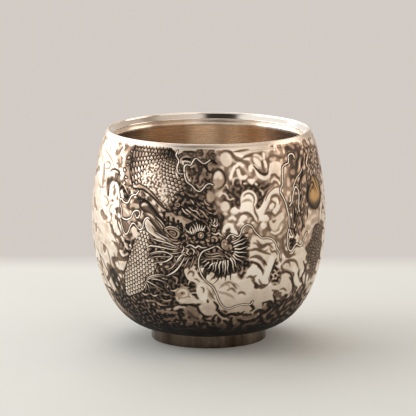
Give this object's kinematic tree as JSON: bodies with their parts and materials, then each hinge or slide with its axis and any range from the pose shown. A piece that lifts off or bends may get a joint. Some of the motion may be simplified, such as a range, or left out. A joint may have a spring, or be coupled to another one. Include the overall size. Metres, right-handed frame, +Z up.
{
  "type": "tea cup",
  "caption": "Round-bellied handleless tea cup: porcelain bowl under a chased silver skin, with a brushed silver lining, a polished bevelled lip and a low foot ring.",
  "frame": {"origin": "centre of the foot ring's underside, where the cup stands on the table", "axes": "+Z up along the cup's axis; -Y towards the side with the dragon's head, +X to its right"},
  "size_m": [0.078, 0.078, 0.0708],
  "materials": {
    "porcelain": "unglazed turned porcelain, hidden under the silver",
    "chased_silver": "warm silver in relief, bright on the raised work and blackened in the grounds",
    "brushed_silver": "warm silver brushed round the cup",
    "polished_silver": "warm silver, polished with faint turning marks"
  },
  "bodies": {
    "root": {"porcelain_bowl": "porcelain", "chased_skin": "chased_silver", "inner_liner": "brushed_silver", "lip_band": "polished_silver", "foot_band": "polished_silver", "base_disc": "polished_silver"}
  },
  "joints": []
}
